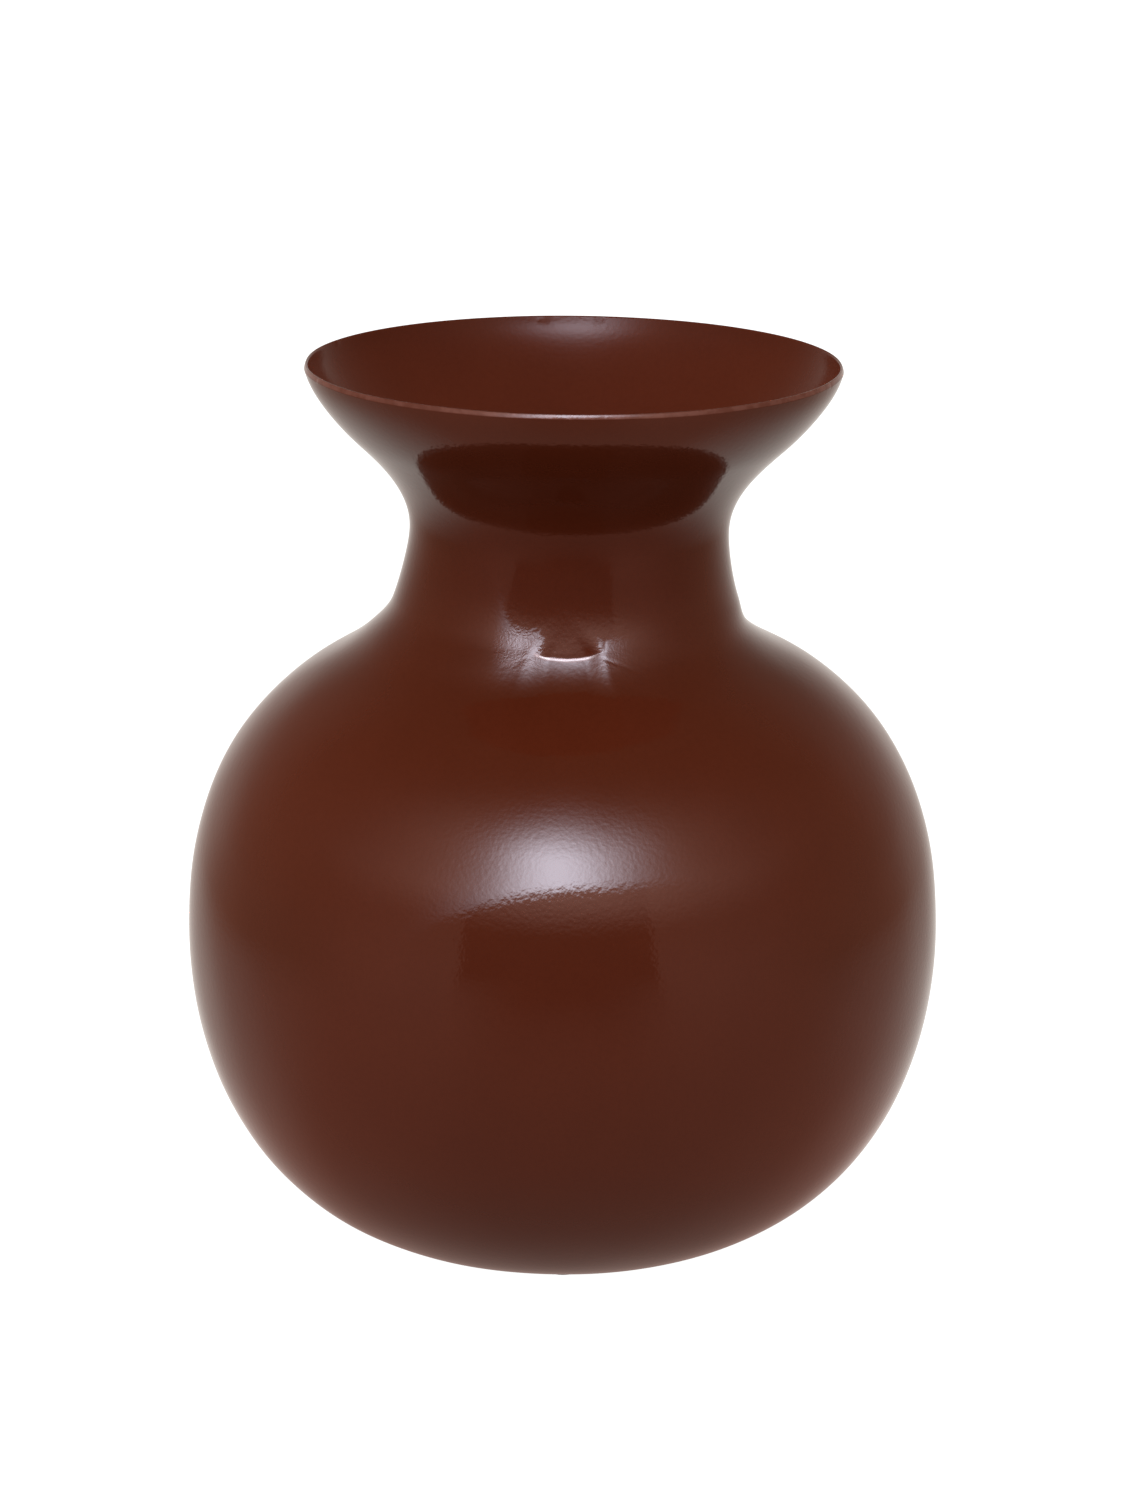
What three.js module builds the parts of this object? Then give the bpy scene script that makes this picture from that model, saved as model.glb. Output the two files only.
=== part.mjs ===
// A round-bellied vase of spun sheet metal, lacquered red-brown: a bowl, a shoulder shell and a
// flared neck, lapped over one another on stepped collars, brazed, and stood on felt pads.
// Millimetres, +Z up. The origin lies on the table, on the axis of the belly.
import * as THREE from "three";

// Sheet metal and its joints
const WALL = 1.5; // sheet with the lacquer on both faces
const JOINT_GAP = 0.3; // clearance between lapped pieces, which the brazing metal wets
const BELLY_LAP = 9; // length of the bowl's collar inside the shoulder shell
const NECK_LAP = 7; // length of the shoulder's collar inside the neck
const JOGGLE_LENGTH = 6; // stretch of wall over which the sheet steps in to a collar
const BRAZE_RISE = 2; // how far the brazing metal climbs the wall above a collar

// Heights, each from one ring of the outline to the next
const BOWL_HEIGHT = 107; // foot to widest line
const SHOULDER_HEIGHT = 106.3; // widest line to neck crease
const NECK_HEIGHT = 30; // neck crease to waist
const FLARE_HEIGHT = 54.5; // waist to top of lip

// Outside diameters
const FOOT_DIAMETER = 98;
const BELLY_DIAMETER = 250;
const CREASE_DIAMETER = 119.6;
const WAIST_DIAMETER = 104.5;
const MOUTH_DIAMETER = 175.8;

// The cove that runs from the shoulder up to the crease, and the bell that opens above the waist
const COVE_REACH = 17;
const COVE_DROP = 14;
const BELL_REACH = 19;
const BELL_RISE = 30;
const MOUTH_OFFSET = 3.7; // the hand-set neck carries the mouth this far to +X

// Lean of the wall from the vertical at each ring, in degrees, outwards as it rises
const FOOT_LEAN = 78;
const COVE_LEAN = -60;
const CREASE_LEAN = -35;
const BELL_LEAN = 48;
const LIP_LEAN = 9;

// Fullness of each stretch of the outline at its lower and upper ring: the length of the curve's
// handle there, as a share of the straight distance between the two rings
const KICK_FULLNESS = [0.5, 0.5];
const BOWL_FULLNESS = [0.41, 0.38];
const SHOULDER_FULLNESS = [0.37, 0.4];
const COVE_FULLNESS = [0.37, 0.26];
const NECK_FULLNESS = [0.2, 0.24];
const BELL_FULLNESS = [0.32, 0.37];
const CURL_FULLNESS = [0.18, 0.29];

// Foot and its pads
const LAND_WIDTH = 18; // flat ring that the pads are stuck to
const KICK_WIDTH = 10; // slope from that ring to the raised middle
const KICK_HEIGHT = 3;
const PAD_COUNT = 4;
const PAD_THICKNESS = 2;
const PAD_MARGIN = 2; // bare land left on both sides of a pad
const PAD_CHAMFER = 0.4;
const GLUE_FILM = 0.2;

// Fineness of the facets
const TURN_PER_FACET = 9; // degrees that the outline turns from one facet to the next
const SIDES = 48;
const PAD_SIDES = 24;
const LIP_FACETS = 4;

const lacquer = new THREE.MeshStandardMaterial({ color: 0x4f2318, roughness: 0.25, metalness: 0 });
const brazing = new THREE.MeshStandardMaterial({ color: 0xa8834a, roughness: 0.45, metalness: 1 });
const felt = new THREE.MeshStandardMaterial({ color: 0x2e2623, roughness: 1, metalness: 0 });

// Heights of the rings above the table
const footHeight = PAD_THICKNESS + GLUE_FILM;
const bellyHeight = footHeight + BOWL_HEIGHT;
const creaseHeight = bellyHeight + SHOULDER_HEIGHT;
const waistHeight = creaseHeight + NECK_HEIGHT;
const lipLean = THREE.MathUtils.degToRad(LIP_LEAN);
const lipHeight = waistHeight + FLARE_HEIGHT - (WALL / 2) * (1 + Math.sin(lipLean));

// Rings of the outside outline: radius, height and lean
const foot = { radius: FOOT_DIAMETER / 2, height: footHeight, lean: FOOT_LEAN };
const belly = { radius: BELLY_DIAMETER / 2, height: bellyHeight, lean: 0 };
const crease = { radius: CREASE_DIAMETER / 2, height: creaseHeight, lean: CREASE_LEAN };
const cove = {
  radius: crease.radius + COVE_REACH,
  height: creaseHeight - COVE_DROP,
  lean: COVE_LEAN,
};
const waist = { radius: WAIST_DIAMETER / 2, height: waistHeight, lean: 0 };
const bell = { radius: waist.radius + BELL_REACH, height: waistHeight + BELL_RISE, lean: BELL_LEAN };
const lip = { radius: MOUTH_DIAMETER / 2, height: lipHeight, lean: LIP_LEAN };

// Rings of the foot's underside, which is level at each of them: the axis, the edge of the raised
// middle and the inner edge of the land
const LEVEL = 90;
const middleHeight = footHeight + KICK_HEIGHT;
const landRadius = foot.radius - LAND_WIDTH;
const axis = { radius: 0, height: middleHeight, lean: LEVEL };
const middle = { radius: landRadius - KICK_WIDTH, height: middleHeight, lean: LEVEL };
const land = { radius: landRadius, height: footHeight, lean: LEVEL };

// A smooth stretch between two rings
function stretch(from, to, [fullnessFrom, fullnessTo]) {
  const start = new THREE.Vector2(from.radius, from.height);
  const end = new THREE.Vector2(to.radius, to.height);
  const span = start.distanceTo(end);
  const handle = (ring, fullness) => {
    const lean = THREE.MathUtils.degToRad(ring.lean);
    return new THREE.Vector2(Math.sin(lean), Math.cos(lean)).multiplyScalar(span * fullness);
  };
  return new THREE.CubicBezierCurve(
    start,
    start.clone().add(handle(from, fullnessFrom)),
    end.clone().sub(handle(to, fullnessTo)),
    end,
  );
}

const flat = (from, to) =>
  new THREE.LineCurve(
    new THREE.Vector2(from.radius, from.height),
    new THREE.Vector2(to.radius, to.height),
  );

// The whole outside outline, from the axis under the foot to the lip, with the degrees that each
// stretch turns and the length of the collar under its start. The slope of the raised middle turns
// down and back.
const kickTurn = 2 * THREE.MathUtils.radToDeg(Math.atan2(KICK_HEIGHT, KICK_WIDTH));
const stretches = {
  middle: { curve: flat(axis, middle), turn: 0 },
  kick: { curve: stretch(middle, land, KICK_FULLNESS), turn: kickTurn },
  land: { curve: flat(land, foot), turn: 0 },
  bowl: { curve: stretch(foot, belly, BOWL_FULLNESS), turn: FOOT_LEAN },
  shoulder: { curve: stretch(belly, cove, SHOULDER_FULLNESS), turn: COVE_LEAN, lap: BELLY_LAP },
  cove: { curve: stretch(cove, crease, COVE_FULLNESS), turn: CREASE_LEAN - COVE_LEAN },
  neck: { curve: stretch(crease, waist, NECK_FULLNESS), turn: CREASE_LEAN, lap: NECK_LAP },
  bell: { curve: stretch(waist, bell, BELL_FULLNESS), turn: BELL_LEAN },
  curl: { curve: stretch(bell, lip, CURL_FULLNESS), turn: BELL_LEAN - LIP_LEAN },
};
const outline = new THREE.CurvePath();

// Distances from a seam to the lower and the upper edge of the brazing metal above its collar
const brazeFoot = (lap) => lap + JOINT_GAP;
const brazeTop = (lap) => brazeFoot(lap) + BRAZE_RISE;

// Distances along the outline where facets meet, and where each stretch ends. Facets also meet at
// both edges of the brazing metal, so that it lies flat along the wall.
const facetEnds = [];
const endOf = {};
let travelled = 0;
for (const [name, { curve, turn, lap }] of Object.entries(stretches)) {
  outline.add(curve);
  const end = travelled + curve.getLength();
  if (lap) {
    facetEnds.push(travelled + brazeFoot(lap));
    facetEnds.push(travelled + brazeTop(lap));
    travelled += brazeTop(lap);
  }
  const facets = Math.max(1, Math.ceil(Math.abs(turn) / TURN_PER_FACET));
  for (let facet = 1; facet <= facets; facet++) {
    facetEnds.push(travelled + ((end - travelled) * facet) / facets);
  }
  travelled = end;
  endOf[name] = end;
}
const bellySeam = endOf.bowl;
const neckSeam = endOf.cove;
const lipEnd = endOf.curl;

// The direction along the outline and the one out of the wall, at a distance along the outline
function directionsAt(distance) {
  const along = outline.getTangent(distance / lipEnd);
  return { along, out: new THREE.Vector2(along.y, -along.x) };
}

// The point at a distance along the outline and a depth below the outside face
function wallPoint(distance, depth) {
  const point = outline.getPoint(distance / lipEnd);
  return point.addScaledVector(directionsAt(distance).out, -depth);
}

// A face of the wall between two distances, at one depth, as the points of its facets. A facet
// that would end closer to an end of the face than the wall is thick is left out.
function wallFace(start, end, depth) {
  const between = facetEnds.filter((at) => at > start + WALL && at < end - WALL);
  return [start, ...between, end].map((distance) => wallPoint(distance, depth));
}

// The collar above a seam: its outer face up, then its inner face down
const collarDepth = WALL + JOINT_GAP;
function collar(seam, lap) {
  const outer = wallFace(seam, seam + lap, collarDepth);
  const inner = wallFace(seam, seam + lap, collarDepth + WALL);
  return [...outer, ...inner.reverse()];
}

// The rounded lip, a half circle from the outer face of the wall over to the inner one
function roundedLip() {
  const centre = wallPoint(lipEnd, WALL / 2);
  const { along, out } = directionsAt(lipEnd);
  const points = [];
  for (let facet = 1; facet < LIP_FACETS; facet++) {
    const angle = (Math.PI * facet) / LIP_FACETS;
    const point = centre.clone().addScaledVector(out, (Math.cos(angle) * WALL) / 2);
    points.push(point.addScaledVector(along, (Math.sin(angle) * WALL) / 2));
  }
  return points;
}

// A section turned about the axis, then drawn to +X above the cove as the neck leans
function turned(section, sides = SIDES) {
  const geometry = new THREE.LatheGeometry(section, sides);
  geometry.rotateX(Math.PI / 2);
  const position = geometry.getAttribute("position");
  for (let i = 0; i < position.count; i++) {
    const drawn = THREE.MathUtils.smoothstep(position.getZ(i), cove.height, bell.height);
    position.setX(i, position.getX(i) + MOUTH_OFFSET * drawn);
  }
  return geometry;
}

const closed = (section) => [...section, section[0].clone()];

function lowerBowl() {
  const outside = wallFace(0, bellySeam, 0);
  const inside = wallFace(0, bellySeam - JOGGLE_LENGTH, WALL).reverse();
  return turned([...outside, ...collar(bellySeam, BELLY_LAP), ...inside]);
}

function shoulderShell() {
  const start = bellySeam + JOINT_GAP;
  const outside = wallFace(start, neckSeam, 0);
  const inside = wallFace(start, neckSeam - JOGGLE_LENGTH, WALL).reverse();
  return turned(closed([...outside, ...collar(neckSeam, NECK_LAP), ...inside]));
}

function flaredNeck() {
  const start = neckSeam + JOINT_GAP;
  const outside = wallFace(start, lipEnd, 0);
  const inside = wallFace(start, lipEnd, WALL).reverse();
  return turned(closed([...outside, ...roundedLip(), ...inside]));
}

// Brazing metal in the corner between a collar's edge and the wall above it
function brazeRing(seam, lap) {
  const corner = wallPoint(seam + brazeFoot(lap), collarDepth);
  const top = wallPoint(seam + brazeTop(lap), collarDepth);
  const toe = wallPoint(seam + brazeFoot(lap), collarDepth + WALL);
  return turned(closed([corner, top, toe]));
}

function feltPad() {
  const radius = LAND_WIDTH / 2 - PAD_MARGIN;
  const section = [
    [0, 0],
    [radius - PAD_CHAMFER, 0],
    [radius, PAD_CHAMFER],
    [radius, PAD_THICKNESS],
    [0, PAD_THICKNESS],
  ];
  return turned(section.map(([x, y]) => new THREE.Vector2(x, y)), PAD_SIDES);
}

function part(name, geometry, material) {
  const mesh = new THREE.Mesh(geometry, material);
  mesh.name = name;
  return mesh;
}

const vase = new THREE.Group();
vase.add(
  part("lower_bowl", lowerBowl(), lacquer),
  part("shoulder_shell", shoulderShell(), lacquer),
  part("flared_neck", flaredNeck(), lacquer),
  part("belly_braze_ring", brazeRing(bellySeam, BELLY_LAP), brazing),
  part("neck_braze_ring", brazeRing(neckSeam, NECK_LAP), brazing),
);
const padCircle = foot.radius - LAND_WIDTH / 2;
for (let pad = 0; pad < PAD_COUNT; pad++) {
  const angle = (2 * Math.PI * pad) / PAD_COUNT;
  const mesh = part(`felt_pad_${pad + 1}`, feltPad(), felt);
  mesh.position.set(padCircle * Math.cos(angle), padCircle * Math.sin(angle), 0);
  vase.add(mesh);
}

export default vase;
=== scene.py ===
# %% [markdown]
# # A lacquered vase of spun sheet metal
#
# The vase is three spun shells, a bowl, a shoulder and a flared neck, lapped over one another on
# stepped collars, brazed on the inside and lacquered red-brown all over. It stands on felt pads.
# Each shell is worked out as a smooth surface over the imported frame, then dressed and lit.

# %% Load the frame
import math

import bpy
import numpy as np
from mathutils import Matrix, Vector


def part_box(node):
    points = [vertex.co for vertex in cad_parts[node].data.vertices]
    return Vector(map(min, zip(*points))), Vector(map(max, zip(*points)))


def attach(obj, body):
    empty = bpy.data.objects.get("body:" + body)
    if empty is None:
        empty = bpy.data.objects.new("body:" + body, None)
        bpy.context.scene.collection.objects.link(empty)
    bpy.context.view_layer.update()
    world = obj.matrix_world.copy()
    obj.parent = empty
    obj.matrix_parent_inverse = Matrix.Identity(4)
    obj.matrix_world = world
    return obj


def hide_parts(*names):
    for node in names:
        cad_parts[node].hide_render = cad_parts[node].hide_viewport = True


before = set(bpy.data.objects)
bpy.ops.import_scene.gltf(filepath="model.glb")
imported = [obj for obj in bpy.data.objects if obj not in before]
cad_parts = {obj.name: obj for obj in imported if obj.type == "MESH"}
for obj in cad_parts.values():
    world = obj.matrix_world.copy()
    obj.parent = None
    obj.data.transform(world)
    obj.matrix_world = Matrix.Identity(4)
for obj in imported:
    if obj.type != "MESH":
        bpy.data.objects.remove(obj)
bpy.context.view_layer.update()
print("frame nodes:", sorted(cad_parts))

# %% [markdown]
# ## Sizes
#
# The frame was turned from one outline, so its sizes are repeated here, in millimetres. Everything
# is worked out in millimetres and turned into metres only when a mesh is made.

# %% Sizes of the vase
MM = 0.001
HEIGHT = 300
WALL = 1.5
JOINT_GAP = 0.3
BELLY_LAP = 9
NECK_LAP = 7
JOGGLE_LENGTH = 6
BRAZE_RISE = 2
MOUTH_OFFSET = 3.7
PAD_RADIUS = 7
PAD_THICKNESS = 2
PAD_CIRCLE = 40
FOOT_HEIGHT = 2.2
KICK_HEIGHT = 3
LIP_LEAN = 9

# Rings of the outline: radius, height, and lean from the vertical in degrees
AXIS = (0, FOOT_HEIGHT + KICK_HEIGHT, 90)
MIDDLE = (21, FOOT_HEIGHT + KICK_HEIGHT, 90)
LAND = (31, FOOT_HEIGHT, 90)
FOOT_FLAT = (49, FOOT_HEIGHT, 90)
FOOT = (49, FOOT_HEIGHT, 78)
BELLY = (125, 109.2, 0)
COVE = (76.8, 201.5, -60)
CREASE = (59.8, 215.5, -35)
WAIST = (52.25, 245.5, 0)
BELL = (71.25, 275.5, 48)
LIP = (87.9, HEIGHT - WALL / 2 * (1 + math.sin(math.radians(LIP_LEAN))), LIP_LEAN)
print(f"a vase {HEIGHT} mm tall and {2 * BELLY[0]} mm wide")

# %% [markdown]
# ## The outline
#
# A spinner presses the turning sheet over a chuck, so the whole wall follows one curve. Each stretch
# of it is a cubic curve between two rings. All are joined and measured by distance along the wall, then
# eased a little, because a spinning tool leaves no sudden change of curve, and a gloss would show one.

# %% Curves of the outline
STRETCH_POINTS = 2001
WEIGHT_TAIL = 4


def cubic(t, start, first, second, end):
    """A cubic curve with two handles, weighted by the terms of the cube of the sum of one less t and t."""
    s = 1 - t
    return s**3 * start + 3 * s**2 * t * first + 3 * s * t**2 * second + t**3 * end


def stretch(lower, upper, fullness):
    """Points on a cubic curve from one ring to the next.

    Each handle is the straight distance between the rings times the fullness there, along the lean.
    """
    start = np.array(lower[:2], float)
    end = np.array(upper[:2], float)
    span = np.linalg.norm(end - start)
    leans = np.radians([lower[2], upper[2]])
    heading = np.stack([np.sin(leans), np.cos(leans)], axis=1)
    near = start + heading[0] * span * fullness[0]
    far = end - heading[1] * span * fullness[1]
    return cubic(np.linspace(0, 1, STRETCH_POINTS)[:, None], start, near, far, end)


def steps_of(line):
    """The distance from each point of a line to the next."""
    return np.linalg.norm(np.diff(line, axis=0), axis=1)


def respaced(line, count):
    """Evenly spaced points along a line: the distance of each from the start, and the points."""
    gone = np.concatenate([[0], np.cumsum(steps_of(line))])
    even = np.linspace(0, gone[-1], count)
    return even, np.stack([np.interp(even, gone, line[:, k]) for k in (0, 1)], axis=1)


def eased(line, step, reach):
    """A line of evenly spaced points, averaged along itself with a bell-shaped weight.

    Past each end the line goes on, turned about the end point, so its ends stay put.
    """
    count = int(WEIGHT_TAIL * reach / step)
    before = 2 * line[0] - line[count:0:-1]
    after = 2 * line[-1] - line[-2 : -count - 2 : -1]
    padded = np.concatenate([before, line, after])
    offsets = np.arange(-count, count + 1) * step
    weight = np.exp(-0.5 * (offsets / reach) ** 2)
    weight /= weight.sum()
    return np.stack([np.convolve(padded[:, k], weight, "valid") for k in (0, 1)], axis=1)


# %% The whole outline
OUTLINE_STEPS = 12000
OUTLINE_EASING = 2.4

# Each stretch: its two rings, and its fullness at both
STRETCHES = {
    "middle": stretch(AXIS, MIDDLE, (0.33, 0.33)),
    "kick": stretch(MIDDLE, LAND, (0.5, 0.5)),
    "land": stretch(LAND, FOOT_FLAT, (0.33, 0.33)),
    "bowl": stretch(FOOT, BELLY, (0.41, 0.38)),
    "shoulder": stretch(BELLY, COVE, (0.37, 0.40)),
    "cove": stretch(COVE, CREASE, (0.37, 0.26)),
    "neck": stretch(CREASE, WAIST, (0.20, 0.24)),
    "bell": stretch(WAIST, BELL, (0.32, 0.37)),
    "curl": stretch(BELL, LIP, (0.18, 0.29)),
}
rough_line = np.concatenate([part[1:] if k else part for k, part in enumerate(STRETCHES.values())])
END_OF = dict(zip(STRETCHES, np.cumsum([steps_of(part).sum() for part in STRETCHES.values()])))
BELLY_SEAM = END_OF["bowl"]
NECK_SEAM = END_OF["cove"]

DISTANCE, even_line = respaced(rough_line, OUTLINE_STEPS + 1)
LIP_END = DISTANCE[-1]
STEP = LIP_END / OUTLINE_STEPS
LINE = eased(even_line, STEP, OUTLINE_EASING)
HEADING = np.gradient(LINE, STEP, axis=0)
HEADING /= np.linalg.norm(HEADING, axis=1, keepdims=True)
print(f"wall length {LIP_END:.1f} mm, eased by at most {np.abs(LINE - even_line).max():.2f} mm")

# %% [markdown]
# ## Waves of the spinning tool
#
# The body is true, but not perfect: the sheet keeps slow waves from the spinning tool, too low to see
# but enough to bend a reflection. They could be bump, but a moved wall bends long reflections better.

# %% Tool waves
rng = np.random.default_rng(11)
WAVES = 36
WAVE_LENGTHS = (22, 75)
WAVE_STEEPNESS = 0.0022
wave_length = np.exp(rng.uniform(*np.log(WAVE_LENGTHS), WAVES))
wave_turn = rng.normal(size=(WAVES, 3))
wave_turn *= (2 * np.pi / wave_length / np.linalg.norm(wave_turn, axis=1))[:, None]
wave_phase = rng.uniform(0, 2 * np.pi, WAVES)
wave_height = WAVE_STEEPNESS * wave_length / (2 * np.pi)


def tool_waves(points):
    """Slow waves: a sum of cosines, each along its own direction with its own length and phase."""
    return np.cos(points @ wave_turn.T + wave_phase) @ wave_height


print(f"{WAVES} waves, the highest {wave_height.max():.3f} mm")

# %% [markdown]
# ## The pinched fold
#
# The neck was set on by hand, and in front, at the seam, the sheet was pinched. That left a short,
# smile-shaped fold in a flattened place, with small wrinkles at its ends. It breaks the mirrored light,
# so its slope is a formula that can be set finely.

# %% Helpers for the marks
def smooth_step(x, low, high):
    """0 below low, 1 above high, and in between three times the square less twice the cube."""
    t = np.clip((x - low) / (high - low), 0, 1)
    return t * t * (3 - 2 * t)


def turn_from(angle, centre):
    """The angle from the centre, wrapped into half a turn to either side."""
    return (angle - centre + np.pi) % (2 * np.pi) - np.pi


GROOVE_END = 0.25


def groove(across, up, start, end, depth, width):
    """A groove along a straight line on the wall.

    Its depth falls off as a bell over the distance from the line, and along it, as a parabola, from
    the whole in the middle to a quarter at both ends.
    """
    start = np.array(start, float)
    along_it = np.array(end, float) - start
    share = ((across - start[0]) * along_it[0] + (up - start[1]) * along_it[1]) / (along_it @ along_it)
    share = np.clip(share, 0, 1)
    away = np.hypot(across - start[0] - share * along_it[0], up - start[1] - share * along_it[1])
    strength = GROOVE_END + 4 * (1 - GROOVE_END) * share * (1 - share)
    return -depth * np.exp(-((away / width) ** 2)) * strength


# %% The fold
FRONT = -np.pi / 2 + np.radians(0.4)
SEAM_RADIUS = 60

# Slope of the fold, how fast it falls off above its line, how round the line is, how far the sunk part
# reaches down, and how much of the whole move is sunk
FOLD_SLOPE = 0.44
FOLD_FALL = 3.62
FOLD_ROUND = 0.76
FOLD_REACH = 50
FOLD_SUNK = 0.92

# Height of the fold's line over the seam in the middle, and its rise at half its length from there
FOLD_LINE = 0.06
FOLD_CURL = 1.35
FOLD_HALF = 10.5

# Heights over the line between which the swell of the neck dies out
SWELL_FADE = (6, 38)

# Both ends: where the fold starts to fade and is gone, how that leans inwards with the height over the
# line, and how its end moves outwards with the depth under it
RIGHT_FADE, RIGHT_END, RIGHT_LEAN = 7.0, 13.6, 0.7
LEFT_FADE, LEFT_END, LEFT_LEAN = 4.7, 13.2, 0.42
END_SPREAD = 0.12

# Flattened place round the fold: centre along the seam and up the wall, depth, and how far it reaches
# to the left, to the right, and up or down
FLAT_ALONG, FLAT_UP, FLAT_DEPTH = -11.4, 0.2, 1.79
FLAT_LEFT, FLAT_RIGHT, FLAT_TALL = 11.0, 30.0, 34.5

# Wrinkles at the ends of the fold: start and end (along the seam, up the wall), depth, width
WRINKLES = [
    ((12.6, 6.6), (12.9, 0.6), 0.06, 0.70),
    ((11.6, 0.4), (16.8, -2.6), 0.06, 0.60),
    ((14.6, -0.6), (23.0, -6.4), 0.03, 0.80),
    ((-10.0, 0.9), (-16.0, -1.7), 0.025, 0.70),
    ((-11.2, -0.4), (-20.5, -5.0), 0.015, 0.90),
    ((-9.4, 1.6), (-11.4, 6.6), 0.015, 0.80),
]


def fold(angle, distance):
    """The fold, the flattened place and the wrinkles, as a move outwards.

    Above a line that curls up at its ends, the slope grows as one less a falling exponential and dies
    out as another. Most of the move is a sinking below the line, which dies out slowly, and the rest
    is eased away up the neck. The ends fade sooner up the neck and later below the line. The flattened
    place is a bell, steeper on the left.
    """
    across = SEAM_RADIUS * turn_from(angle, FRONT)
    up = distance - NECK_SEAM
    height = up - FOLD_LINE - FOLD_CURL * (across / FOLD_HALF) ** 2
    over, under = np.maximum(height, 0), np.minimum(height, 0)
    quick = 1 / (1 / FOLD_FALL + 1 / FOLD_ROUND)
    whole = FOLD_FALL - quick
    swell = (1 - FOLD_SUNK) * whole * (1 - smooth_step(height, *SWELL_FADE))
    above = swell + quick * np.exp(-over / quick) - FOLD_FALL * np.exp(-over / FOLD_FALL)
    below = -FOLD_SUNK * whole * np.exp(under / FOLD_REACH)
    right_end = smooth_step(across + RIGHT_LEAN * over, RIGHT_FADE, RIGHT_END - END_SPREAD * under)
    left_end = smooth_step(LEFT_LEAN * over - across, LEFT_FADE, LEFT_END - END_SPREAD * under)
    moved = FOLD_SLOPE * np.where(height > 0, above, below) * (1 - right_end) * (1 - left_end)
    aside = (across - FLAT_ALONG) / np.where(across < FLAT_ALONG, FLAT_LEFT, FLAT_RIGHT)
    moved = moved - FLAT_DEPTH * np.exp(-(aside**2) - ((up - FLAT_UP) / FLAT_TALL) ** 2)
    for start, end, depth, width in WRINKLES:
        moved = moved + groove(across, up, start, end, depth, width)
    return moved


print(f"fold {-fold(FRONT, NECK_SEAM - 1):.2f} mm deep just under the seam")

# %% [markdown]
# ## Lip and neck
#
# The thin lip has a few nicks. The neck was set by eye: it leans to the right, its seam sits lower on
# that side, and it was pushed forward. All of that is a move of the same wall.

# %% Nicks, and the setting of the neck
NICK_TALL = 1.5

# Nicks in the lip: angle round the mouth in degrees, depth and width
NICKS = [(-118, 0.09, 0.6), (-112, 0.05, 0.5), (-84, 0.05, 0.9), (-71, 0.06, 0.5), (84, 0.13, 1.4),
         (97, 0.16, 1.6), (40, 0.08, 0.8), (155, 0.10, 0.9), (-20, 0.06, 0.7), (-160, 0.08, 0.6)]

# How far the wall is raised: at the seam on the left and in front, over what reach, and at the mouth
SEAM_RAISED = 1.2
SEAM_RAISED_FRONT = 0.48
SEAM_REACH = 18
MOUTH_RAISED = 0.8

# How far the neck is off the axis, and between which heights: at the seam, then further up
SEAM_ASIDE = 1.3
NECK_FORWARD = 6.06
MOUTH_FORWARD = 0.4
ASIDE_LOW, ASIDE_HIGH, ASIDE_END = CREASE[1] - 4.5, CREASE[1] + 6.5, BELL[1] + 2
FORWARD_LOW, FORWARD_HIGH, FORWARD_END = COVE[1] - 6.8, CREASE[1] + 1.3, WAIST[1] - 5


def lip_nicks(angle, distance):
    """Small dents at the lip, each a bell in both directions, deepest at the edge."""
    moved = 0
    up = distance - LIP_END
    for degrees, depth, width in NICKS:
        across = LIP[0] * turn_from(angle, np.radians(degrees))
        moved = moved - depth * np.exp(-((across / width) ** 2) - (up / (NICK_TALL * width)) ** 2)
    return moved


def raised(angle, distance):
    """How far the wall is raised: the seam on the left and a little in front, the mouth on the left.

    A cosine or sine of the angle, times a bell at the seam or an eased step up to the mouth.
    """
    at_seam = np.exp(-(((distance - NECK_SEAM) / SEAM_REACH) ** 2))
    at_mouth = MOUTH_RAISED * smooth_step(distance, END_OF["neck"], LIP_END)
    on_left = -np.cos(angle) * (SEAM_RAISED * at_seam + at_mouth)
    return on_left - np.sin(angle) * SEAM_RAISED_FRONT * at_seam


def pushed(z):
    """How far the neck is off the axis at a height, to the right and forward, each as two eased steps."""
    right = SEAM_ASIDE * smooth_step(z, ASIDE_LOW, ASIDE_HIGH)
    right = right + (MOUTH_OFFSET - SEAM_ASIDE) * smooth_step(z, ASIDE_HIGH, ASIDE_END)
    forward = NECK_FORWARD * smooth_step(z, FORWARD_LOW, FORWARD_HIGH)
    forward = forward + MOUTH_FORWARD * smooth_step(z, FORWARD_HIGH, FORWARD_END)
    return right, forward


print("lip moved to the right and forward, in mm:", np.round(pushed(LIP[1]), 2))

# %% [markdown]
# ## Wall to space
#
# One function carries every shell: from an angle round the axis, a distance along the wall and a
# depth below its outside face to a point. A shell is then only a loop of runs in distance and depth.

# %% The wall
CALM_RADIUS = 20


def wall(angle, distance, depth):
    """Points of the wall, in millimetres.

    The outline's point, moved out along its normal by the hand's marks less the depth, is swept round
    the axis and pushed off it with the neck. Past the lip the outline goes straight on.
    """
    inside = np.clip(distance, 0, LIP_END)
    past = distance - inside
    heading_r = np.interp(inside, DISTANCE, HEADING[:, 0])
    heading_z = np.interp(inside, DISTANCE, HEADING[:, 1])
    r = np.interp(inside, DISTANCE, LINE[:, 0]) + heading_r * past
    z = np.interp(inside, DISTANCE, LINE[:, 1]) + heading_z * past
    plain = np.stack([r * np.cos(angle), r * np.sin(angle), z + 0 * angle], axis=-1)
    near_axis = smooth_step(r, 0, CALM_RADIUS)
    out = tool_waves(plain) * near_axis + fold(angle, distance) + lip_nicks(angle, distance) - depth
    r = r + heading_z * out
    z = z - heading_r * out
    z = z + raised(angle, distance)
    right, forward = pushed(z)
    return np.stack([r * np.cos(angle) + right, r * np.sin(angle) - forward, z], axis=-1)

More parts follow.
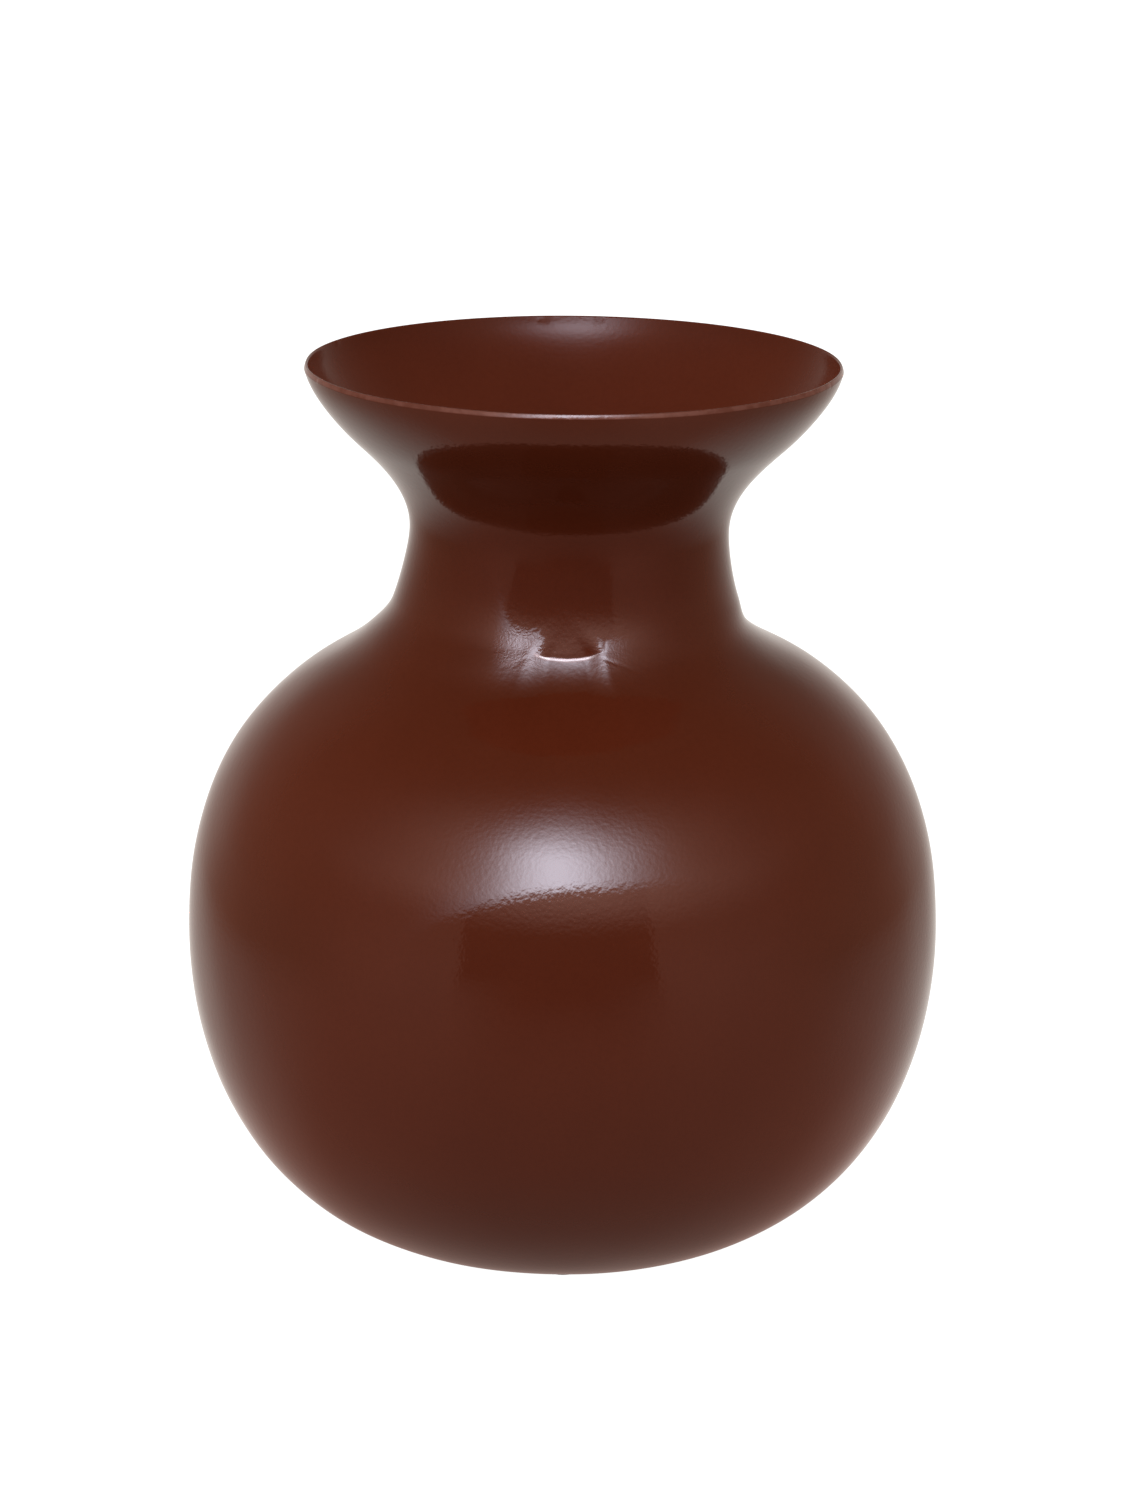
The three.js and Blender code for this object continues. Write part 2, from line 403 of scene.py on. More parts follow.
# %% Runs along the wall
FINE_POINTS = 4001


def spread(start, end, count, dense_at=(), reach=10, gain=3):
    """Distances from start to end, spaced by a density of one plus a bell round each in dense_at."""
    fine = np.linspace(start, end, FINE_POINTS)
    density = np.ones_like(fine)
    for at in dense_at:
        density += gain * np.exp(-(((fine - at) / reach) ** 2))
    grown = np.concatenate([[0], np.cumsum((density[1:] + density[:-1]) / 2)])
    return np.interp(np.linspace(0, grown[-1], count), grown, fine)


def along(distances, depth):
    """A run along the wall at one depth, with its direction in distance and depth."""
    flat = np.zeros_like(distances)
    way = np.sign(distances[-1] - distances[0])
    return distances, flat + depth, flat + way, flat


def between(start, end, count=3):
    """A straight run from one (distance, depth) to another."""
    t = np.linspace(0, 1, count)
    step = (end[0] - start[0], end[1] - start[1])
    return start[0] + t * step[0], start[1] + t * step[1], 0 * t + step[0], 0 * t + step[1]


def over_edge(distance, depth, radius, count):
    """Half a turn about a point of the wall, from its outer side over the edge to its inner side."""
    a = np.radians(np.linspace(0, 180, count))
    return distance + radius * np.sin(a), depth - radius * np.cos(a), np.cos(a), np.sin(a)


def bent(start, first, second, end, count):
    """A curved run: a cubic curve with two handles, all given as (distance, depth)."""
    t = np.linspace(0, 1, count)[:, None]
    start, first, second, end = (np.array(p, float) for p in (start, first, second, end))
    at = cubic(t, start, first, second, end)
    way = (1 - t) ** 2 * (first - start) + 2 * (1 - t) * t * (second - first) + t**2 * (end - second)
    way = way / np.linalg.norm(way, axis=1, keepdims=True)
    return at[:, 0], at[:, 1], way[:, 0], way[:, 1]


# %% [markdown]
# ## Sweeping a shell
#
# A loop of runs is swept round the axis into facets, which are smallest in front, where the fold is.
# The gloss needs exact normals, so these are the cross product of the surface's own two slopes. Two
# shells that meet at a seam get the same normal there, which hides the seam as the lacquer does.

# %% Angles, normals and facets
SIDES = 384
CROWDING = 0.5
NORMAL_STEP = 0.02
NORMAL_TURN = 2e-4
NO_LENGTH = 1e-12
even_turn = np.arange(SIDES) * 2 * np.pi / SIDES
ANGLES = even_turn - CROWDING * np.sin(even_turn) + FRONT
print(f"angles closest in front: {np.degrees(ANGLES[1] - ANGLES[0]):.2f} degrees apart")


def normals(surface, angles, s, d, way_s, way_d):
    """Normals at points of the runs: the cross product of the slope round the axis and the run's own."""
    a = angles[:, None]
    step_s, step_d = NORMAL_STEP * way_s, NORMAL_STEP * way_d
    on = surface(a, s + step_s, d + step_d) - surface(a, s - step_s, d - step_d)
    turn = surface(a + NORMAL_TURN, s, d) - surface(a - NORMAL_TURN, s, d)
    n = np.cross(turn, on)
    return n / np.maximum(np.linalg.norm(n, axis=-1, keepdims=True), NO_LENGTH)


def capped(grid, quads, corner, kept):
    """The grid with its first and last ring drawn together into points, and triangles round those."""
    sides, rings = grid.shape[:2]
    inner = sides * (rings - 2)
    renumber = np.empty((sides, rings), int)
    renumber[:, 1:-1] = np.arange(inner).reshape(sides, -1)
    renumber[:, 0] = inner
    renumber[:, -1] = inner + 1
    numbers = renumber.ravel()[quads]
    poles = np.stack([grid[:, 0].mean(0), grid[:, -1].mean(0)])
    points = np.concatenate([grid[:, 1:-1].reshape(-1, 3), poles])
    groups = [(numbers[:, 1:-1].reshape(-1, 4), corner[:, 1:-1])]
    for column, used in ((0, [0, 2, 3]), (-1, [0, 1, 2])):
        groups.append((numbers[:, column][:, used], corner[:, column][:, used]))
    kept = [np.concatenate([np.tile(v[1:-1], sides), v[[0, -1]]]) for v in kept]
    return points, groups, kept


# %% Meshes
def mesh_data(name, points, corners, sizes, loops):
    """A smooth mesh in metres from points, corner numbers, face sizes and corner normals."""
    mesh = bpy.data.meshes.new(name)
    mesh.vertices.add(len(points))
    mesh.loops.add(len(corners))
    mesh.polygons.add(len(sizes))
    mesh.vertices.foreach_set("co", (points * MM).ravel())
    mesh.loops.foreach_set("vertex_index", corners.astype(np.int32))
    starts = np.concatenate([[0], np.cumsum(sizes)[:-1]]).astype(np.int32)
    mesh.polygons.foreach_set("loop_start", starts)
    mesh.update(calc_edges=True)
    mesh.validate()
    mesh.polygons.foreach_set("use_smooth", np.ones(len(sizes), bool))
    mesh.normals_split_custom_set(loops.astype(np.float32))
    return mesh


def shell(name, runs, closed=True, angles=ANGLES, surface=wall):
    """A mesh swept round from runs on a surface, with exact normals.

    A closed loop makes a ring, and an open one ends on its axis. Each point keeps its distance and
    depth, for the finish to use.
    """
    # Distance, depth and direction at both ends of every facet, run by run
    at_start = [np.concatenate([run[k][:-1] for run in runs]) for k in range(4)]
    at_end = [np.concatenate([run[k][1:] for run in runs]) for k in range(4)]
    s, d = at_start[:2]
    if not closed:
        s, d = np.append(s, at_end[0][-1]), np.append(d, at_end[1][-1])
    sides, rings = len(angles), len(s)
    grid = surface(angles[:, None], s, d)
    n_start, n_end = (normals(surface, angles, *at) for at in (at_start, at_end))

    i = np.arange(sides)[:, None]
    j = np.arange(len(at_start[0]))
    i_next, j_next = (i + 1) % sides, (j + 1) % rings
    quads = np.stack([i * rings + j, i_next * rings + j, i_next * rings + j_next, i * rings + j_next], -1)
    corner = np.stack([n_start, np.roll(n_start, -1, 0), np.roll(n_end, -1, 0), n_end], axis=2)
    if closed:
        points, groups = grid.reshape(-1, 3), [(quads.reshape(-1, 4), corner)]
        kept = [np.tile(s, sides), np.tile(d, sides)]
    else:
        points, groups, kept = capped(grid, quads, corner, (s, d))

    corners = np.concatenate([numbers.ravel() for numbers, _ in groups])
    sizes = np.concatenate([np.full(len(numbers), numbers.shape[1]) for numbers, _ in groups])
    loops = np.concatenate([normal.reshape(-1, 3) for _, normal in groups])
    mesh = mesh_data(name, points, corners, sizes, loops)
    for title, values in zip(("distance", "depth"), kept):
        attribute = mesh.attributes.new(title, "FLOAT", "POINT")
        attribute.data.foreach_set("value", values.astype(np.float32))
    obj = bpy.data.objects.new(name, mesh)
    bpy.context.scene.collection.objects.link(obj)
    return obj


def place(obj, node):
    """Dress a frame node with this piece."""
    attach(obj, "root")
    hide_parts(node)
    own = np.array([v[:] for v in obj.bound_box])
    off = np.abs(np.stack([own.min(0), own.max(0)]) - np.array(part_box(node))).max() / MM
    triangles = sum(len(p.vertices) - 2 for p in obj.data.polygons)
    print(f"{obj.name}: {triangles} triangles, box within {off:.2f} mm of {node}")


# %% [markdown]
# ## The three shells
#
# The bowl is closed at the axis. Its upper edge steps in to a collar, over which the shoulder is
# pushed, and the shoulder carries the neck in the same way. Each shell's lower edge touches the piece
# below at the outside face only, where the joint was filled and ground flush, and leaves the joint's
# clearance behind that. The lip is filed to a slope outside, which catches the light as a line.

# %% Collars and the lip
COLLAR = WALL + JOINT_GAP
COLLAR_POINTS = 8
EDGE_POINTS = 9
JOGGLE_POINTS = 5

# Where the lip is filed, highest and rounded off, its crest's depth, and the handles of its two curves
FILED = LIP_END - 0.6
LIP_TOP = LIP_END + 0.74
ROUNDED = LIP_END + 0.1
CREST_DEPTH = 0.93
FILED_HANDLE, CREST_OUTER, CREST_INNER, ROUNDED_HANDLE = 0.18, 0.15, 0.32, 0.35
FILED_POINTS = 15


def collar(seam, lap):
    """The step into a collar above a seam, up its outer face, over its rounded edge and down again."""
    radius = WALL / 2
    top = seam + lap - radius
    foot = seam - JOGGLE_LENGTH
    return [
        between((seam, 0), (seam, COLLAR)),
        along(np.linspace(seam, top, COLLAR_POINTS), COLLAR),
        over_edge(top, COLLAR + radius, radius, EDGE_POINTS),
        along(np.linspace(top, seam, COLLAR_POINTS), COLLAR + WALL),
        between((seam, COLLAR + WALL), (foot, WALL), JOGGLE_POINTS),
    ]


crest, inner = (LIP_TOP, CREST_DEPTH), (ROUNDED, WALL)
lip = [
    bent((FILED, 0), (FILED + FILED_HANDLE, 0), (LIP_TOP, CREST_DEPTH - CREST_OUTER), crest, FILED_POINTS),
    bent(crest, (LIP_TOP, CREST_DEPTH + CREST_INNER), (ROUNDED + ROUNDED_HANDLE, WALL), inner, EDGE_POINTS),
]
print(f"lip {LIP_TOP - FILED:.2f} mm long")

# %% Bowl, shoulder and neck
bowl = shell(
    "bowl_wall",
    [along(spread(0, BELLY_SEAM, 130, [END_OF["land"]], reach=8, gain=3), 0)]
    + collar(BELLY_SEAM, BELLY_LAP)
    + [along(spread(BELLY_SEAM - JOGGLE_LENGTH, 0, 76, [END_OF["land"]], reach=8, gain=2), WALL)],
    closed=False,
)
shoulder = shell(
    "shoulder_wall",
    [along(spread(BELLY_SEAM, NECK_SEAM, 150, [NECK_SEAM], reach=9, gain=5), 0)]
    + collar(NECK_SEAM, NECK_LAP)
    + [along(spread(NECK_SEAM - JOGGLE_LENGTH, BELLY_SEAM + JOINT_GAP, 60), WALL)]
    + [between((BELLY_SEAM + JOINT_GAP, WALL), (BELLY_SEAM, 0))],
)
neck = shell(
    "neck_wall",
    [along(spread(NECK_SEAM, FILED, 150, [NECK_SEAM, FILED], reach=7, gain=4), 0)]
    + lip
    + [along(spread(ROUNDED, NECK_SEAM + JOINT_GAP, 76, [LIP_END], reach=7, gain=2), WALL)]
    + [between((NECK_SEAM + JOINT_GAP, WALL), (NECK_SEAM, 0))],
)
place(bowl, "lower_bowl")
place(shoulder, "shoulder_shell")
place(neck, "flared_neck")

# %% [markdown]
# ## Brazing
#
# Brass was melted into the corner above each collar, on the inside, where it ran into the lap. It left
# a hollow fillet with the ripples of a hand that moves the torch on in small steps. It wets both faces,
# so it starts on the wall and ends on the collar's rounded edge.

# %% Brazed fillets
BRAZE_SIDES = 960
BRAZE_ANGLES = np.arange(BRAZE_SIDES) * 2 * np.pi / BRAZE_SIDES
BELLY_RIPPLES = 210
NECK_RIPPLES = 96

# Heights of the ripples and of the slow unevenness, how they bend back, and how they grow with depth
RIPPLE_HEIGHT = 0.11
UNEVEN_HEIGHT = 0.06
RIPPLE_BEND = 1.6
RIPPLE_SWAY = 0.6
RIPPLE_GROWTH = 1.6

# How far below the collar's edge the fillet starts and ends, and the power that makes it hollow
FILLET_START = 0.9
FILLET_TOE = 0.35
FILLET_HOLLOW = 1.6
FILLET_POINTS = 13


def rippled(count):
    """The wall with ripples on what lies deeper than its inner face.

    A ripple is a cosine of the angle, bent back along the wall, on two slow ones. It grows with depth.
    """
    def surface(angle, distance, depth):
        below = np.clip((depth - WALL) / COLLAR, 0, 1)
        ripple = np.cos(count * angle + RIPPLE_BEND * below + RIPPLE_SWAY * np.sin(7 * angle))
        slow = np.cos(13 * angle + 2) + np.cos(29 * angle)
        height = RIPPLE_HEIGHT * ripple + UNEVEN_HEIGHT * slow
        return wall(angle, distance, depth + below * (RIPPLE_GROWTH - below) * height)
    return surface


def braze(name, seam, lap, count):
    """A brazed fillet above a collar: up the wall, down a hollow curve to the collar, and back."""
    low, top = seam + lap - FILLET_START, seam + lap + JOINT_GAP + BRAZE_RISE
    toe = (seam + lap - FILLET_TOE, COLLAR + WALL - FILLET_TOE)
    t = np.linspace(0, 1, FILLET_POINTS)
    hollow_s = toe[0] + (top - toe[0]) * (1 - t) ** 2
    hollow_d = WALL + (toe[1] - WALL) * t**FILLET_HOLLOW
    hollow = (hollow_s, hollow_d, np.gradient(hollow_s), np.gradient(hollow_d))
    runs = [along(np.linspace(low, top, 5), WALL), hollow, between(toe, (low, WALL))]
    return shell(name, runs, angles=BRAZE_ANGLES, surface=rippled(count))


belly_braze = braze("belly_braze", BELLY_SEAM, BELLY_LAP, BELLY_RIPPLES)
neck_braze = braze("neck_braze", NECK_SEAM, NECK_LAP, NECK_RIPPLES)
place(belly_braze, "belly_braze_ring")
place(neck_braze, "neck_braze_ring")

# %% [markdown]
# ## Felt pads
#
# Four punched discs of pressed felt keep the foot off the table. Punched felt has a slightly pulled
# edge of matted fibres, so each disc is a turned profile with short, shallow waves.

# %% Felt discs
PADS = 4
PAD_SIDES = 120
PAD_EDGE = 0.45
PAD_WAISTED = 0.12
PAD_EASING = 0.16
pad_line = np.array([(0, 0), (PAD_RADIUS - PAD_EDGE, 0), (PAD_RADIUS, PAD_EDGE),
                     (PAD_RADIUS - PAD_WAISTED, PAD_THICKNESS / 2), (PAD_RADIUS, PAD_THICKNESS - PAD_EDGE),
                     (PAD_RADIUS - PAD_EDGE, PAD_THICKNESS), (0, PAD_THICKNESS)], float)
pad_steps, pad_even = respaced(pad_line, 801)
PAD_LINE = eased(pad_even, pad_steps[1], PAD_EASING)

MATTED = 28
MATTED_LENGTHS = (0.7, 2.4)
MATTED_HEIGHT = 0.012
MATTED_INWARDS = 0.05
MATTED_FROM = 3
matted_turn = rng.normal(size=(MATTED, 3))
matted_length = rng.uniform(*MATTED_LENGTHS, MATTED)
matted_turn *= (2 * np.pi / matted_length / np.linalg.norm(matted_turn, axis=1))[:, None]


def felt_surface(x, y, phase):
    """The surface of one felt disc: its turned profile, whose edge is pulled in by short waves.

    The waves are a sum of cosines in space, whose phases are the disc's own. Both faces stay flat.
    """
    def surface(angle, distance, depth):
        r = np.interp(distance, pad_steps, PAD_LINE[:, 0]) - depth
        z = np.interp(distance, pad_steps, PAD_LINE[:, 1]) + 0 * angle
        plain = np.stack([r * np.cos(angle), r * np.sin(angle), z], axis=-1)
        pulled = MATTED_HEIGHT * np.cos(plain @ matted_turn.T + phase).sum(-1) - MATTED_INWARDS
        r = r + pulled * smooth_step(r, MATTED_FROM, PAD_RADIUS)
        return np.stack([x + r * np.cos(angle), y + r * np.sin(angle), z], axis=-1)
    return surface


pad_angles = np.arange(PAD_SIDES) * 2 * np.pi / PAD_SIDES
pad_edges = [PAD_RADIUS, PAD_RADIUS + PAD_THICKNESS]
pads = []
for number in range(PADS):
    turn = number * 2 * np.pi / PADS
    phase = rng.uniform(0, 6, MATTED)
    surface = felt_surface(PAD_CIRCLE * np.cos(turn), PAD_CIRCLE * np.sin(turn), phase)
    run = along(spread(0, pad_steps[-1], 56, pad_edges, reach=1.5, gain=4), 0)
    pad = shell(f"felt_disc_{number + 1}", [run], False, pad_angles, surface)
    place(pad, f"felt_pad_{number + 1}")
    pads.append(pad)

# %% [markdown]
# ## Finishes
#
# Every finish is a small network of noise and arithmetic. One class stands for a socket, so that the
# arithmetic reads as plain formulas.

# %% Networks as formulas
def operator(operation, swapped=False):
    """A method for one operation on a socket and another value, the other one first if swapped."""
    def method(self, other):
        return self.math(operation, other, self) if swapped else self.math(operation, self, other)
    return method


class Wire:
    """A socket of a shader network that can be used in formulas."""

    def __init__(self, tree, socket=None):
        self.tree = tree
        self.socket = socket

    def node(self, kind, out=0, settings=None, **inputs):
        """Add any node: its settings, and its inputs by name or number, each a value or a Wire."""
        made = self.tree.nodes.new(kind)
        for name, value in (settings or {}).items():
            setattr(made, name, value)
        for name, value in inputs.items():
            number = name[1:]
            socket = made.inputs[int(number) if number.isdigit() else name.replace("_", " ")]
            if isinstance(value, Wire):
                self.tree.links.new(value.socket, socket)
            else:
                socket.default_value = value
        return Wire(self.tree, made.outputs[out])

    def math(self, operation, first, second=0.0):
        """One step of arithmetic."""
        return self.node("ShaderNodeMath", 0, {"operation": operation}, _0=first, _1=second)

    def vector(self, operation, out=0, **inputs):
        """One step of arithmetic on vectors, this one first."""
        return self.node("ShaderNodeVectorMath", out, {"operation": operation}, _0=self, **inputs)

    def spot(self):
        """The place in the frame, in metres."""
        return self.node("ShaderNodeTexCoord", "Object")

    def kept(self, title):
        """A value that the mesh keeps at each point."""
        return self.node("ShaderNodeAttribute", 2, {"attribute_name": title})

    def axis(self, k):
        """One coordinate of a vector."""
        return self.node("ShaderNodeSeparateXYZ", k, None, Vector=self)

    def mix(self, factor, first, second):
        """A colour between two colours."""
        return self.node("ShaderNodeMix", 2, {"data_type": "RGBA"}, _0=factor, _6=first, _7=second)

    def ramp(self, low, high):
        """0 at low and 1 at high, eased, and flat outside."""
        return self.node("ShaderNodeMapRange", 0, {"interpolation_type": "SMOOTHSTEP"}, Value=self,
                         From_Min=low, From_Max=high)

    def bell(self):
        """One at 0, falling off as the exponential of minus the square."""
        return self.math("EXPONENT", -(self**2))

    def noise(self, scale, detail=2.0, roughness=0.5):
        """Cloudy noise with this many cells per metre."""
        return self.node("ShaderNodeTexNoise", 0, None, Vector=self, Scale=scale, Detail=detail,
                         Roughness=roughness)

    def bump(self, height):
        """A normal bent by a height in millimetres."""
        return self.node("ShaderNodeBump", 0, None, Strength=1.0, Distance=MM, Height=height)

    def shader(self, **inputs):
        """A principled shader with these inputs."""
        return self.node("ShaderNodeBsdfPrincipled", 0, None, **inputs)

    def __neg__(self):
        return self.math("MULTIPLY", self, -1)

    def __abs__(self):
        return self.math("ABSOLUTE", self)

    __add__ = operator("ADD")
    __radd__ = operator("ADD", swapped=True)
    __sub__ = operator("SUBTRACT")
    __rsub__ = operator("SUBTRACT", swapped=True)
    __mul__ = operator("MULTIPLY")
    __rmul__ = operator("MULTIPLY", swapped=True)
    __truediv__ = operator("DIVIDE")
    __pow__ = operator("POWER")


def new_finish(name):
    """An empty material and a Wire to build in it."""
    material = bpy.data.materials.new(name)
    material.use_nodes = True
    material.node_tree.nodes.clear()
    return material, Wire(material.node_tree)


def show(shader):
    """Join a shader to its material's output."""
    output = shader.tree.nodes.new("ShaderNodeOutputMaterial")
    shader.tree.links.new(shader.socket, output.inputs["Surface"])


# %% [markdown]
# ### Lacquer
#
# A sprayed lacquer, red-brown and deep, polished to a sharp gloss. The spray dries with an orange peel
# of dimples about a millimetre wide, which frays every reflection. Round the fold the coat is crackled,
# and the fold's crest is polished through to the metal. The lip is rubbed lighter in places, and the
# neck's front is duller from handling. The inside got a thinner, duller coat, in rings.

# %% What varies over the lacquer
# Colours of the coat's clouds, pigment, rubbed lip, scuffed foot and bare metal, and shares of three
COAT_DEEP = (0.0565, 0.0095, 0.0034, 1)
COAT_LIGHT = (0.0637, 0.0110, 0.0041, 1)
PIGMENT = (0.045, 0.0065, 0.0022, 1)
RUBBED = (0.12, 0.040, 0.028, 1)
SCUFFED = (0.13, 0.07, 0.05, 1)
BARE = (0.14, 0.13, 0.125, 1)
PIGMENT_SHARE, RUBBED_SHARE, SCUFFED_SHARE = 0.2, 0.8, 0.35

# Cells per metre of each pattern, and cells per millimetre of the rings inside
CLOUD_GRAIN, PIGMENT_GRAIN, RUB_GRAIN = 16, 700, 240
PEEL_GRAIN, DIMPLE_GRAIN, STIR_GRAIN, CRACKLE_GRAIN = 780, 560, 420, 800
RING_GRAIN = 1.7

# Heights in millimetres of peel, dimples, crackle and rings, the share of peel lost to crackle, and how
# far the crackle's cells are stirred, in metres
PEEL, DIMPLE, CRACKLE, RING = 0.032, 0.012, 0.016, 0.003
PEEL_LOST = 0.4
STIR = 0.0022

# Roughness of the coat and what is added to it, then the dull coat's roughness, rings and mirroring
ROUGH = 0.05
ROUGH_PIGMENT, ROUGH_WORN, ROUGH_CRACKLED, ROUGH_SCUFFED = 0.02, 0.12, 0.09, 0.20
DULL, DULL_RINGS, DULL_MIRROR = 0.15, 0.06, 0.17
LACQUER_IOR = 1.5

# Reaches in millimetres: towards the front, into the wall, over the filed lip along the wall and into
# it, over the scuffed foot, and up the handled front of the neck, with its share of the dull coat
FRONT_FADE = (20, 50)
INNER_FADE = (0.9, 1.4)
FILED_FADE = (FILED + 0.05, FILED + 0.3)
CREST_FADE = (0.75, 1.0)
SCUFF_REACH = 3
HANDLED_FROM, HANDLED_TO = (10, 22), (36, 50)
HANDLED = 0.55

# Crackled coat at both ends of the fold: middle (along, up), half width, half height, strength
CRACKLED = [(-14.5, 2, 11, 9, 1.0), (16, 1, 9, 8, 0.6)]
CRACKLED_EDGE = 0.8

# Bright line on the fold: how far right of and below the fold's line, width, ends, share of metal
LINE_ASIDE, LINE_BELOW, LINE_WIDTH = 1.2, 0.15, 0.42
LINE_ENDS = (7.8, 11)
LINE_METAL = 0.9


def crackled(across, up):
    """Where the coat is crackled: ovals at both ends of the fold, eased in from their edges."""
    patch = 0.0
    for middle, height, wide, tall, strength in CRACKLED:
        oval = 1 - ((across - middle) / wide) ** 2 - ((up - height) / tall) ** 2
        patch = patch + strength * oval.ramp(0, CRACKLED_EDGE)
    return patch


def bright_line(across, up):
    """The line on the crest of the fold: a bell across it, eased out at both ends."""
    along_line = across - LINE_ASIDE
    off_line = up - FOLD_LINE - FOLD_CURL * (along_line / FOLD_HALF) ** 2 + LINE_BELOW
    return (off_line / LINE_WIDTH).bell() * (1 - abs(along_line).ramp(*LINE_ENDS))


def lacquer_relief(spot, patch):
    """Orange peel with dimples, and crackle in the patches: noise, and the edges of stirred cells."""
    peel = spot.noise(PEEL_GRAIN, 1.5, 0.45)
    dimple = spot.node("ShaderNodeTexVoronoi", 0, {"feature": "SMOOTH_F1"}, Vector=spot,
                       Scale=DIMPLE_GRAIN, Smoothness=0.9)
    stir = spot.node("ShaderNodeTexNoise", "Color", None, Vector=spot, Scale=STIR_GRAIN)
    stirred = stir.vector("MULTIPLY_ADD", _1=(STIR, STIR, STIR), _2=spot)
    crackle = spot.node("ShaderNodeTexVoronoi", 0, {"feature": "DISTANCE_TO_EDGE"}, Vector=stirred,
                        Scale=CRACKLE_GRAIN).ramp(0, 0.3)
    return PEEL * peel * (1 - PEEL_LOST * patch) + DIMPLE * dimple + patch * CRACKLE * crackle


# %% The lacquer itself
def lacquer_finish():
    """Colour, gloss and relief of the lacquer, in the frame's coordinates and the wall's own."""
    material, wire = new_finish("lacquer")
    spot = wire.spot()
    across = spot.axis(0) * (1 / MM)
    in_front = (-spot.axis(1) * (1 / MM)).ramp(*FRONT_FADE)
    distance, depth = wire.kept("distance"), wire.kept("depth")
    up = distance - NECK_SEAM
    inside = depth.ramp(*INNER_FADE)
    outside = 1 - inside

    cloud = spot.noise(CLOUD_GRAIN, 6, 0.62)
    pigment = spot.noise(PIGMENT_GRAIN)
    filed = distance.ramp(*FILED_FADE) * (1 - depth.ramp(*CREST_FADE))
    worn = filed * (0.5 + 0.5 * spot.noise(RUB_GRAIN, 3).ramp(0.35, 0.6))
    scuffed = (END_OF["land"] + SCUFF_REACH - distance).ramp(0, SCUFF_REACH) * outside
    patch = crackled(across, up) * in_front * outside
    bright = bright_line(across, up) * in_front * outside
    rings = wire.node("ShaderNodeTexNoise", 0, {"noise_dimensions": "1D"}, W=distance + 2.0 * cloud,
                      Scale=RING_GRAIN, Detail=3.0, Roughness=0.6)

    colour = wire.mix(cloud.ramp(0.25, 0.75), COAT_DEEP, COAT_LIGHT)
    colour = wire.mix(pigment.ramp(0.35, 0.75) * PIGMENT_SHARE, colour, PIGMENT)
    colour = wire.mix(worn * RUBBED_SHARE, colour, RUBBED)
    colour = wire.mix(scuffed * SCUFFED_SHARE, colour, SCUFFED)
    colour = wire.mix(bright, colour, BARE)
    gloss = ROUGH + ROUGH_PIGMENT * pigment + ROUGH_WORN * worn
    gloss = gloss + ROUGH_CRACKLED * patch + ROUGH_SCUFFED * scuffed
    bump = wire.bump(lacquer_relief(spot, patch) + inside * RING * rings)

    polished = wire.shader(Base_Color=colour, Roughness=gloss, Metallic=LINE_METAL * bright,
                           IOR=LACQUER_IOR, Normal=bump)
    dull = wire.shader(Base_Color=colour, Roughness=DULL + DULL_RINGS * rings, IOR=LACQUER_IOR,
                       Specular_IOR_Level=DULL_MIRROR, Normal=bump)
    handled = up.ramp(*HANDLED_FROM) * (1 - up.ramp(*HANDLED_TO)) * in_front
    duller = wire.math("MAXIMUM", inside, HANDLED * handled)
    show(wire.node("ShaderNodeMixShader", 0, None, _0=duller, _1=polished, _2=dull))
    return material


# %% [markdown]
# ### Brass and felt
#
# The brazing metal is dull brass, browned by the flux between its ripples. The felt is dark and
# matted, with lighter fibres in all directions and no gloss.

# %% Brass and felt
BRASS = (0.42, 0.23, 0.075, 1)
BROWNED = (0.12, 0.055, 0.022, 1)
BRASS_GRAIN = 0.03
FELT_DARK = (0.012, 0.009, 0.008, 1)
FELT_LIGHT = (0.075, 0.058, 0.050, 1)
FIBRE_GRAIN = 900
FIBRE_HEIGHT, FELT_HEIGHT = 0.12, 0.1


def brass_finish():
    """Dull brass with brown stains and a grainy surface."""
    material, wire = new_finish("brazing")
    spot = wire.spot()
    stain = spot.noise(90, 4, 0.6).ramp(0.42, 0.66)
    colour = wire.mix(stain, BRASS, BROWNED)
    bump = wire.bump(BRASS_GRAIN * spot.noise(1400))
    show(wire.shader(Base_Color=colour, Roughness=0.34 + 0.3 * stain, Metallic=1 - 0.7 * stain, Normal=bump))
    return material


def felt_finish():
    """Matted fibres: stretched noise laid two ways, over a soft cloud."""
    material, wire = new_finish("felt")
    spot = wire.spot()
    laid = spot.vector("MULTIPLY", _1=(1, 5, 3))
    crossed = spot.vector("MULTIPLY", _1=(5, 1, 3))
    fibre = laid.noise(FIBRE_GRAIN, 3, 0.6) + crossed.noise(FIBRE_GRAIN, 3, 0.6)
    cloud = spot.noise(300)
    colour = wire.mix(fibre.ramp(0.85, 1.25), FELT_DARK, FELT_LIGHT)
    bump = wire.bump(FIBRE_HEIGHT * fibre + FELT_HEIGHT * cloud)
    show(wire.shader(Base_Color=colour, Roughness=0.85 + 0.15 * cloud, Sheen_Weight=0.4, Sheen_Roughness=0.5,
                     Normal=bump))
    return material


# %% Dress the pieces
dressed = (
    ((bowl, shoulder, neck), lacquer_finish()),
    ((belly_braze, neck_braze), brass_finish()),
    (pads, felt_finish()),
)
for pieces, material in dressed:
    for piece in pieces:
        piece.data.materials.append(material)
    print(f"{material.name}: {len(material.node_tree.nodes)} nodes on {len(pieces)} pieces")

# %% [markdown]
# ## Stage and light
#
# The vase stands on a pale floor in soft light. A gloss finish also needs a studio to mirror, and that
# is a dome which only reflections see: one large soft light above the camera, in a warm, dim room that
# is darkest towards the camera and bright behind the vase. Under the floor lies a sheet that only
# reflections see, too: the same room's warm floor, lighter close to the vase.

# %% Pieces of the stage
WHITE = (1, 1, 1, 1)
DEGREES = 180 / math.pi


